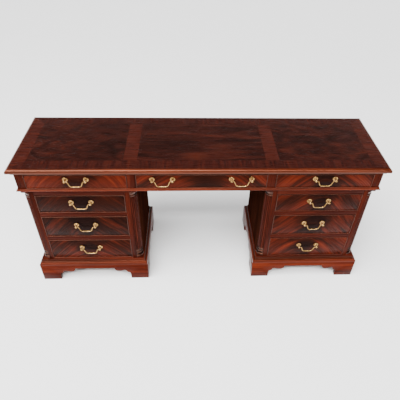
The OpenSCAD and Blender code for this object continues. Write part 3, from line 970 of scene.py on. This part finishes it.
def makeColumns(side, tree, names):
    s = column
    node = side + "_columns"
    low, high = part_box(node)
    bottom, top = low.z + s["block"], high.z - s["cap"]
    work = bmesh.new()
    squares = bmesh.new()
    for axisX, start, squareX in (
        (low.x + s["side"], math.pi, low.x),
        (high.x - s["side"], 1.5 * math.pi, high.x - s["side"]),
    ):
        axisY = low.y + s["side"]
        profile = columnProfile(bottom, top)
        sections = []
        for i in range(s["turnSteps"] + 1):
            turn = start + math.pi / 2 * i / s["turnSteps"]
            sections.append([(axisX + r * math.cos(turn), axisY + r * math.sin(turn), z) for r, z in profile])
        addSolid(work, sections)
        values = {
            "Axis": (axisX, axisY, bottom + s["shaftStart"] - s["reedLap"]),
            "Start": start,
            "Shaft": s["shaft"],
            "Reed": reedRadius(),
            "Height": top - bottom - s["shaftStart"] - s["shaftEnd"] + 2 * s["reedLap"],
            "Count": s["reeds"],
            "Finish": columnMahogany,
        }
        addWork(work, bakeTree(tree, names, values))
        for z0, z1 in ((low.z, bottom), (top, high.z)):
            outline = [(squareX, low.y), (squareX + s["side"], low.y)]
            outline += [(squareX + s["side"], axisY), (squareX, axisY)]
            addSolid(squares, [[(x, y, z) for x, y in outline] for z in (z0, z1)])
    bmesh.ops.remove_doubles(work, verts=work.verts, dist=s["weld"])
    outwards(work)
    outwards(squares)
    roundEdges(squares, s["edge"])
    for face in squares.faces:
        face.material_index = 1
    addWork(work, squares)
    stainAndShadeColumns(work, low, high)
    drawGrain(work)
    makePiece(side + "Columns", work, [columnMahogany, frameMahogany], "carcase", [node])


reedNodes, reedInputs = reedTree()
for side in ("left", "right"):
    makeColumns(side, reedNodes, reedInputs)
print("columns made")

drawerFront = {
    "bead": 3 * mm,
    "proud": 2.5 * mm,
    "thick": 20 * mm,
    "glue": 0.1 * mm,
    "beadGlue": 0.03 * mm,
    "edge": 0.25 * mm,
    "boxEdge": 0.5 * mm,
    "figureHalf": 215 * mm,  # half width that the flame figure is drawn for
    "uprightBeadShade": 0.75,  # painted shade: how dark the upright beads are painted, where the level ones catch the light
}
veneerShades = {  # how much darker each drawer's veneer is
    "frieze_drawer_left": 0.0,
    "frieze_drawer_centre": 0.02,
    "frieze_drawer_right": 0.04,
    "left_drawer_1": 0.14,
    "left_drawer_2": 0.14,
    "left_drawer_3": 0.05,
    "right_drawer_1": 0.07,
    "right_drawer_2": 0.11,
    "right_drawer_3": 0.01,
}


def makeFront(drawer, leaf):
    s = drawerFront
    low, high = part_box(drawer + "_front")
    face = low.y + s["proud"]
    inset = s["bead"] + s["glue"]
    work = bmesh.new()
    outline = [(low.x + inset, low.z + inset), (high.x - inset, low.z + inset)]
    outline += [(high.x - inset, high.z - inset), (low.x + inset, high.z - inset)]
    addSolid(work, [[(x, y, z) for x, z in outline] for y in (face, face + s["thick"])])
    outwards(work)
    roundEdges(work, s["edge"])
    layer = work.loops.layers.float_vector.new("figure")
    tone = work.loops.layers.float.new("shade")
    middle = (low + high) / 2
    shrink = s["figureHalf"] * 2 / (high.x - low.x)
    for part in work.faces:
        for loop in part.loops:
            place = loop.vert.co - middle
            loop[layer] = Vector((place.x * shrink, place.z, leaf))
            loop[tone] = veneerShades[drawer]
    makePiece(drawer + "_veneer", work, flameVeneer, drawer, [drawer + "_front"])
    nose = s["bead"] / 2
    lip = s["thick"] + s["proud"] - nose
    # stain and painted shade on the bead's inner side and back, for a dark gap line round the veneer
    profile = [(s["bead"], 0, 0.9), (s["bead"], s["thick"], 0.9), (s["bead"], lip, 0.5)]
    profile += arcPoints(nose, lip, nose, nose, 0, 180, 8)[1:] + [(0, 0, 0.8)]
    back = face + s["thick"]
    frontLow, frontHigh = (low.x, low.z), (high.x, high.z)
    work = mitredFrame(frontLow, frontHigh, profile, s["beadGlue"], lambda a, b, rise: (a, back - rise, b))
    recess = recessOf(work)
    # painted shade: the upright beads are darkened
    for vert in work.verts:
        if min(vert.co.x - low.x, high.x - vert.co.x) < s["bead"] * 0.9:
            vert[recess] = max(vert[recess], s["uprightBeadShade"])
    makePiece(drawer + "_cockBead", work, litBeadMahogany, drawer, [drawer + "_front"])


slides = [j for j in frame["joints"] if j["type"] == "slide"]
for number, slide in enumerate(slides):
    name = slide["child"]
    makeFront(name, 3.7 * number)
    box = boardsFrom(name + "_box", drawerFront["boxEdge"])
    makePiece(name + "_boxBoards", box, drawerWood, name, [name + "_box"])
print("drawers made")

pull = {
    "centres": 96 * mm,
    "reach": 18 * mm,
    "rosette": 12.5 * mm,
    "post": 4 * mm,
    "head": 6.5 * mm,
    "bolt": 2.5 * mm,
    "boltEnd": -28 * mm,
    "nut": 6 * mm,
    "nutHole": 2.55 * mm,
    "nutHeight": 4 * mm,
    "turnSteps": 32,
}


def postProfile():
    # radius and distance out from the drawer's face
    s = pull
    r, reach, head = s["rosette"], s["reach"], s["head"]
    neck = reach - head
    return (
        [(0, s["boltEnd"]), (s["bolt"], s["boltEnd"]), (s["bolt"], 0), (r - 0.5 * mm, 0), (r, 0.5 * mm)]
        + arcPoints(r - 1.3 * mm, 1.2 * mm, 1.3 * mm, 1.2 * mm, 0, 150, 8)  # rim of the rosette
        + arcPoints(r * 0.62, 1.9 * mm, r * 0.16, 1.5 * mm, 0, 180, 8)  # its raised ring
        + [(s["post"] + 1.2 * mm, 2.6 * mm), (s["post"] + 0.2 * mm, 4.2 * mm), (s["post"] - 0.6 * mm, neck - 1 * mm)]
        + arcPoints(s["post"] - 0.3 * mm, neck + 0.2 * mm, 1.2 * mm, 0.8 * mm, -70, 80, 5)  # collar
        + arcPoints(0, reach, head, head, -52, 62, 12)
        + arcPoints(0, reach + head - 1.2 * mm, head * 0.42, 1.2 * mm, 10, 90, 5)  # tip of the head
    )


def repeatTree():
    # stands a copy of the piece on every point of the carrier
    sockets = {"Points": "Geometry", "Piece": "Object", "Scale": "Float", "Finish": "Material"}
    tree, names, given = newTree("repeatAtPoints", sockets)
    piece = addNode(tree, "GeometryNodeObjectInfo", {"Object": given["Piece"]}).outputs["Geometry"]
    scale = join(tree, given["Scale"], given["Scale"], given["Scale"])
    inputs = {"Points": given["Points"], "Instance": piece, "Scale": scale}
    copies = addNode(tree, "GeometryNodeInstanceOnPoints", inputs).outputs[0]
    finishTree(tree, copies, given["Finish"])
    return tree, names


repeatNodes, repeatInputs = repeatTree()


def repeatAt(points, source, finish):
    mesh = bpy.data.meshes.new("points")
    mesh.from_pydata([tuple(p) for p in points], [], [])
    host = bpy.data.objects.new("points", mesh)
    return bakeTree(repeatNodes, repeatInputs, {"Piece": source, "Scale": 1.0, "Finish": finish}, host)


def turnedSource(name, profile, axis):
    # a turning about -Y or Z, the source that the copies are made from
    work = bmesh.new()
    steps = pull["turnSteps"]
    rings = []
    for radius, out in profile:
        if radius < 1e-6:
            rings.append([work.verts.new((0, -out, 0) if axis == "y" else (0, 0, out))])
            continue
        ring = []
        for i in range(steps):
            a, b = radius * math.cos(2 * math.pi * i / steps), radius * math.sin(2 * math.pi * i / steps)
            ring.append(work.verts.new((a, -out, b) if axis == "y" else (a, b, out)))
        rings.append(ring)
    for near, far in zip(rings, rings[1:]):
        for i in range(steps):
            j = (i + 1) % steps
            if len(near) == 1 and len(far) == 1:
                continue
            if len(near) == 1:
                work.faces.new((near[0], far[j], far[i]))
            elif len(far) == 1:
                work.faces.new((near[i], near[j], far[0]))
            else:
                work.faces.new((near[i], near[j], far[j], far[i]))
    outwards(work)
    mesh = bpy.data.meshes.new(name)
    work.to_mesh(mesh)
    work.free()
    source = bpy.data.objects.new(name, mesh)
    scene.collection.objects.link(source)
    return source


def hexNut(source):
    # adds the nut on the bolt behind the drawer front
    work = bmesh.new()
    s = pull
    start = -drawerFront["thick"]
    nut = bmesh.new()
    turns = [math.radians(60 * i) for i in range(6)]
    rings = []
    for out in (start, start - s["nutHeight"]):
        for radius in (s["nut"], s["nutHole"]):
            rings.append([nut.verts.new((radius * math.cos(a), -out, radius * math.sin(a))) for a in turns])
    outerA, innerA, outerB, innerB = rings
    for i in range(6):
        j = (i + 1) % 6
        nut.faces.new((outerA[i], outerA[j], outerB[j], outerB[i]))
        nut.faces.new((innerA[i], innerB[i], innerB[j], innerA[j]))
        nut.faces.new((outerA[i], innerA[i], innerA[j], outerA[j]))
        nut.faces.new((outerB[i], outerB[j], innerB[j], innerB[i]))
    outwards(nut)
    work.from_mesh(source.data)
    addWork(work, nut)
    work.to_mesh(source.data)
    work.free()


postSource = turnedSource("postSource", postProfile(), "y")
hexNut(postSource)
hinges = [j for j in frame["joints"] if j["type"] == "hinge"]
for slide in slides:
    name = slide["child"]
    points = []
    for hinge in hinges:
        if hinge["parent"] == name:
            pivot = Vector(hinge["pos_m"])
            for way in (-0.5, 0.5):
                points.append(pivot + Vector((way * pull["centres"], pull["reach"], 0)))
    work = repeatAt(points, postSource, brass)
    makePiece(name + "_rosettesAndPosts", work, brass, name, [name + "_pull_posts"], 40)
bpy.data.objects.remove(postSource)

bail = {
    "start": 41 * mm,  # from the middle of the pull to where the neck leaves the head
    "drop": 30 * mm,
    "tilt": 70,
    "neckBend": 7 * mm,
    "barBend": 14 * mm,
    "neck": 1.8 * mm,
    "bar": 2.6 * mm,
    "pin": 2.0 * mm,
    "pinIn": 10 * mm,
    "collar": 0.6 * mm,
    "collarRise": 0.9 * mm,
    "swell": 0.8,  # how soon the bar thickens
    "sides": 16,
}


def bailPath():
    # middle line of the right half, from the pin in the head down to the middle of the bar
    s = bail
    tilt = math.radians(s["tilt"])
    leg = (s["drop"] - (s["neckBend"] + s["barBend"]) * (1 - math.cos(tilt))) / math.sin(tilt)
    barEnd = s["start"] - (s["neckBend"] + s["barBend"]) * math.sin(tilt) - leg * math.cos(tilt)
    neck = [
        (s["start"] - s["neckBend"] * math.sin(a), s["neckBend"] * (math.cos(a) - 1), math.pi + a)
        for a in [tilt * i / 8 for i in range(9)]
    ]
    foot = [
        (barEnd + s["barBend"] * math.sin(a), s["barBend"] * (1 - math.cos(a)) - s["drop"], math.pi + a)
        for a in [tilt * (1 - i / 10) for i in range(11)]
    ]
    x0, z0, way = neck[-1]
    legs = [(x0 + leg * t * math.cos(way), z0 + leg * t * math.sin(way), way) for t in (0.25, 0.5, 0.75)]
    bar = [(barEnd * (1 - t), -s["drop"], math.pi) for t in (0.25, 0.5, 0.75, 1.0)]
    return neck + legs + foot + bar


def bailRadii(count):
    # a thin neck, and a bar that swells to its middle
    s = bail
    return [s["neck"] + (s["bar"] - s["neck"]) * (i / (count - 1)) ** s["swell"] for i in range(count)]


def makeBail(hinge):
    s = bail
    pivot = Vector(hinge["pos_m"])
    half = bailPath()
    start = s["start"]
    places = (start + s["pinIn"], start, start - 0.01 * mm, start - s["collar"])
    path = [(x, 0, math.pi) for x in places] + half[1:]
    radii = [s["pin"]] * 2 + [s["neck"] + s["collarRise"]] * 2 + bailRadii(len(half))[1:]
    path += [(-x, z, -way) for x, z, way in reversed(path[:-1])]
    radii += reversed(radii[:-1])
    sections = []
    for (x, z, way), radius in zip(path, radii):
        ring = []
        for i in range(s["sides"]):
            a = 2 * math.pi * i / s["sides"]
            inPlane = radius * math.cos(a)
            spot = Vector((x - inPlane * math.sin(way), radius * math.sin(a), z + inPlane * math.cos(way)))
            ring.append(pivot + spot)
        sections.append(ring)
    work = bmesh.new()
    addSolid(work, sections)
    outwards(work)
    body = hinge["child"]
    node = frame["record"]["behaviour"]["bodies"][body][0]
    makePiece(node + "_swanNeck", work, brass, body, [node], 45)


for hinge in hinges:
    makeBail(hinge)
print("pulls made")

screw = {
    "shank": 2.5 * mm,
    "head": 5 * mm,
    "headHeight": 3 * mm,
    "slot": 0.9 * mm,
    "slotDepth": 1.0 * mm,
    "point": 2 * mm,
    "tip": 0.3 * mm,
    "match": 0.02 * mm,  # screws whose lengths are this close share a source
}


def screwPlaces():
    work = bmesh.new()
    work.from_mesh(frame["nodes"]["fixing_screws"].data)
    bmesh.ops.remove_doubles(work, verts=work.verts, dist=meshRules["weld"])
    found = []
    for island in islandsOf(work):
        low, high = extent(island)
        found.append(((low[0] + high[0]) / 2, (low[1] + high[1]) / 2, low[2], high[2]))
    work.free()
    return found


def makeScrews():
    s = screw
    places = screwPlaces()
    whole = bmesh.new()
    for length in sorted({round(top - bottom, 5) for x, y, bottom, top in places}):
        profile = [(0, s["slotDepth"]), (s["slot"], s["slotDepth"]), (s["slot"], 0), (s["head"], 0)]
        profile += [(s["shank"], s["headHeight"]), (s["shank"], length - s["point"])]
        profile += [(s["tip"], length), (0, length)]
        source = turnedSource("screwSource", profile, "z")
        points = [(x, y, bottom) for x, y, bottom, top in places if abs(top - bottom - length) < s["match"]]
        addWork(whole, repeatAt(points, source, steel))
        bpy.data.objects.remove(source)
    makePiece("fixingScrews", whole, steel, "carcase", ["fixing_screws"])


makeScrews()
print("screws made")

studio = {
    "floorReach": 13.0,  # flat floor, then a curved sweep up to a wall
    "sweep": 3.0,
    "wallTop": 6.2,
    "steps": 64,
    "colour": 0.92,
    "mottle": 0.02,
    "roughness": 0.9,
    "specular": 0.1,
    "world": 0.12,
    "sun": {"from": (-0.30, -0.38, 1.0), "strength": 7.0, "angle": 50},
    "strip": {"place": (0.0, -2.5, 3.4), "target": (0, -0.2, 0.6), "size": (5.0, 0.28), "power": 210},
    "side": {"place": (-2.8, -0.6, 2.6), "target": (-0.6, 0.0, 0.6), "size": (1.6, 1.6), "power": 75},
}


def makeFloor():
    s = studio
    flat = [(s["floorReach"] * max(i, 0.01) / 8, 0.0) for i in range(9)]
    curve = arcPoints(s["floorReach"], s["sweep"], s["sweep"], s["sweep"], -90, 0, 12)[1:]
    profile = flat + curve + [(s["floorReach"] + s["sweep"], s["wallTop"])]
    steps = s["steps"]
    verts = [
        (r * math.cos(2 * math.pi * i / steps), r * math.sin(2 * math.pi * i / steps), cadLow.z + z)
        for r, z in profile
        for i in range(steps)
    ]
    faces = [
        (k * steps + i, (k + 1) * steps + i, (k + 1) * steps + (i + 1) % steps, k * steps + (i + 1) % steps)
        for k in range(len(profile) - 1)
        for i in range(steps)
    ]
    faces.append(tuple(range(steps)))
    mesh = bpy.data.meshes.new("studioFloor")
    mesh.from_pydata(verts, [], faces)
    mesh.shade_smooth()
    material, tree, shader = newMaterial("studioFloor", (s["colour"],) * 3)
    place = addNode(tree, "ShaderNodeTexCoord").outputs["Object"]
    tone = calc(tree, "MULTIPLY_ADD", noise(tree, stretch(tree, place, (0.6, 0.6, 0.6))), s["mottle"], s["colour"])
    tree.links.new(tone, shader.inputs["Base Color"])
    shader.inputs["Roughness"].default_value = s["roughness"]
    shader.inputs["Specular IOR Level"].default_value = s["specular"]
    mesh.materials.append(material)
    floor = bpy.data.objects.new("studioFloor", mesh)
    scene.collection.objects.link(floor)


def addLight(name, kind, place, target):
    data = bpy.data.lights.new(name, kind)
    light = bpy.data.objects.new(name, data)
    scene.collection.objects.link(light)
    light.location = place
    light.rotation_mode = "QUATERNION"
    light.rotation_quaternion = (Vector(target) - Vector(place)).to_track_quat("-Z", "Y")
    return data


def makeLights():
    sun = studio["sun"]
    data = addLight("softSun", "SUN", Vector(sun["from"]) * 6, (0, 0, 0))
    data.energy = sun["strength"]
    data.angle = math.radians(sun["angle"])
    for name in ("strip", "side"):
        lamp = studio[name]
        data = addLight(name + "Light", "AREA", lamp["place"], lamp["target"])
        data.shape = "RECTANGLE"
        data.size, data.size_y = lamp["size"]
        data.energy = lamp["power"]
    world = bpy.data.worlds.new("studioWorld")
    world.use_nodes = True
    world.node_tree.nodes["Background"].inputs["Color"].default_value = (1, 1, 1, 1)
    world.node_tree.nodes["Background"].inputs["Strength"].default_value = studio["world"]
    scene.world = world


makeFloor()
makeLights()
print("studio made")
